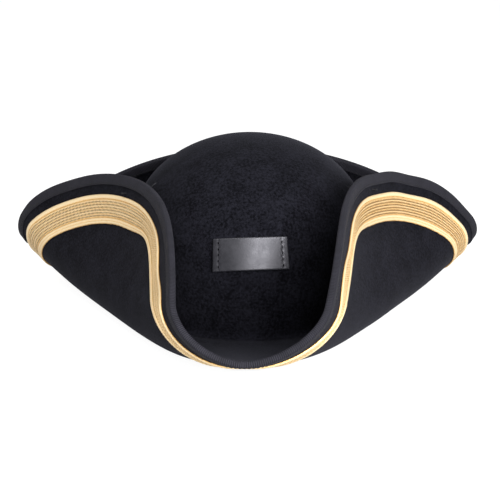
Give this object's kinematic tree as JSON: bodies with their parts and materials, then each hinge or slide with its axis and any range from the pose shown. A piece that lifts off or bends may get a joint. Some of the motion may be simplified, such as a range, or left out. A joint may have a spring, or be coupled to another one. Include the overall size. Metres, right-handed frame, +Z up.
{
  "type": "tricorn pirate hat",
  "caption": "Wool felt tricorn pirate hat with a bound edge, gold braid under the turned-up brim and a leather keeper on the crown.",
  "frame": {"origin": "middle of the hat's bounding box, on the surface that the brim rests on", "axes": "+Z up through the crown, -Y towards the front corner, +X towards the wearer's left"},
  "size_m": [0.3952, 0.3786, 0.1395],
  "materials": {
    "wool_felt": "matte, short fibre nap",
    "grosgrain": "ribbed ribbon, low sheen",
    "gold_braid": "metallic woven thread",
    "leather": "smooth, semi-gloss",
    "thread": "twisted thread",
    "sweatband": "ribbed cotton band",
    "label": "blank woven label"
  },
  "bodies": {
    "root": {"felt_hood": "wool_felt", "edge_binding": "grosgrain", "binding_seam_upper": "thread", "binding_seam_lower": "thread", "gold_braid": "gold_braid", "sweatband": "sweatband", "sweatband_seam": "thread", "size_label": "label", "keeper_strap": "leather", "keeper_stitches_left": "thread", "keeper_stitches_right": "thread", "rear_bow": "grosgrain", "tack_thread_left": "thread", "tack_thread_right": "thread", "tack_thread_rear": "thread"}
  },
  "joints": []
}
